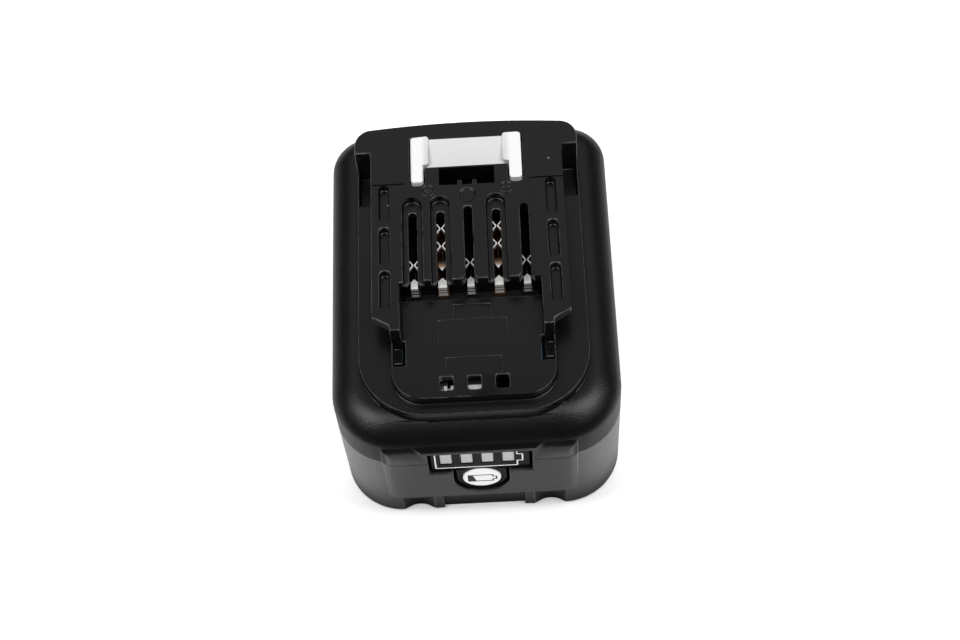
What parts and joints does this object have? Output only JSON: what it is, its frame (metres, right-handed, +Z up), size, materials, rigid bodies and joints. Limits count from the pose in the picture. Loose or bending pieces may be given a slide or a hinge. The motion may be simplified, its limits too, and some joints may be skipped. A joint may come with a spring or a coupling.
{
  "type": "power tool battery pack",
  "caption": "Slide-on cordless tool battery pack with side rails, slotted contact deck, sprung white latch, rear release button and a front charge gauge with a check button.",
  "frame": {"origin": "middle of the pack's length and width, on the bottom face that it rests on", "axes": "+Z up, -Y towards the gauge end, +Y towards the latch end"},
  "size_m": [0.0666, 0.0844, 0.055],
  "materials": {
    "casing": "satin moulded ABS with a fine grain",
    "white_plastic": "smooth white moulding",
    "inner_plastic": "plain moulding",
    "panel_plastic": "smooth dark label film",
    "lens": "frosted light pipe",
    "led_resin": "clear resin",
    "spring_steel": "drawn wire",
    "copper_contact": "stamped copper alloy, plated at its tips",
    "plated_contact": "nickel plated strip",
    "circuit_board": "green solder mask",
    "chip_resin": "moulded resin",
    "ceramic": "fired ceramic",
    "cell_wrap": "shrink film over a steel can",
    "card": "pressed fibre card",
    "red_insulation": "silicone sleeve",
    "ribbon": "flat cable",
    "screw_steel": "zinc plated"
  },
  "bodies": {
    "pack": {"lower_housing": "casing", "upper_housing": "casing", "latch_retainer": "inner_plastic", "latch_spring_left": "spring_steel", "latch_spring_right": "spring_steel", "contact_carrier": "inner_plastic", "positive_terminal": "copper_contact", "negative_terminal": "copper_contact", "signal_terminal_left": "plated_contact", "signal_terminal_middle": "plated_contact", "signal_terminal_right": "plated_contact", "main_board": "circuit_board", "power_transistors": "chip_resin", "control_chip": "chip_resin", "board_capacitors": "ceramic", "cell_lower_left": "cell_wrap", "cell_lower_middle": "cell_wrap", "cell_lower_right": "cell_wrap", "cell_upper_left": "cell_wrap", "cell_upper_middle": "cell_wrap", "cell_upper_right": "cell_wrap", "cell_end_rings": "card", "cell_frame_front": "inner_plastic", "cell_frame_rear": "inner_plastic", "front_cell_links": "plated_contact", "rear_cell_links": "plated_contact", "front_insulating_sheet": "card", "rear_insulating_sheet": "card", "positive_lead": "red_insulation", "sense_lead": "white_plastic", "thermistor": "chip_resin", "gauge_board": "circuit_board", "gauge_lights": "led_resin", "gauge_lenses": "lens", "gauge_panel": "panel_plastic", "check_switch": "chip_resin", "gauge_cable": "ribbon", "cable_plug": "white_plastic", "housing_screws": "screw_steel"},
    "latch": {"latch_hook": "white_plastic", "release_button": "casing"},
    "check_button": {"check_button": "white_plastic"},
    "switch_plunger": {"switch_plunger": "inner_plastic"}
  },
  "joints": [
    {"name": "latch_slide", "type": "slide", "parent": "pack", "child": "latch", "axis": [0, 0, -1], "range_m": [0, 0.004], "stiffness_N_per_m": 900, "springref_m": -0.002, "deforming": ["latch_spring_left", "latch_spring_right"]},
    {"name": "check_button_press", "type": "slide", "parent": "pack", "child": "check_button", "axis": [0, 1, 0], "range_m": [0, 0.0005], "stiffness_N_per_m": 1500, "springref_m": -0.0004},
    {"name": "switch_plunger_press", "type": "slide", "parent": "pack", "child": "switch_plunger", "axis": [0, 1, 0], "range_m": [0, 0.0005]}
  ],
  "couplings": [
    {"joint": "switch_plunger_press", "follows": "check_button_press", "ratio": 1}
  ]
}
